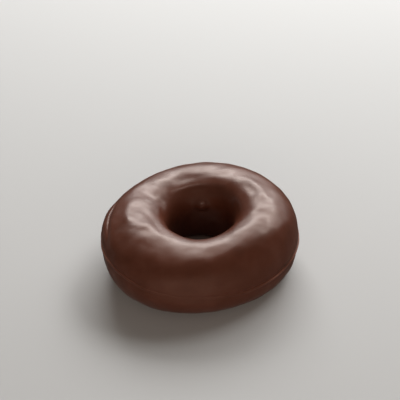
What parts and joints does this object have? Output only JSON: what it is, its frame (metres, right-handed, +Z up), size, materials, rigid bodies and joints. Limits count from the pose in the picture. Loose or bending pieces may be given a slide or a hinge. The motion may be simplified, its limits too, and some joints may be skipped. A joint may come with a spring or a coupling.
{
  "type": "chocolate doughnut",
  "caption": "Raised ring doughnut, slightly uneven, coated all over in dark set chocolate, with a hole through the middle and a faint crease round its side.",
  "frame": {"origin": "under the middle of the ring's outline, on the surface that it rests on", "axes": "+Z up through the hole, from the flat foot to the crest; the picture is seen from -Y, with +X to its right"},
  "size_m": [0.0882, 0.089, 0.0336],
  "materials": {
    "chocolate_coating": "dark brown chocolate set to a soft gloss, with a few shallow ripples and dimples"
  },
  "bodies": {
    "root": {"doughnut": "chocolate_coating"}
  },
  "joints": []
}
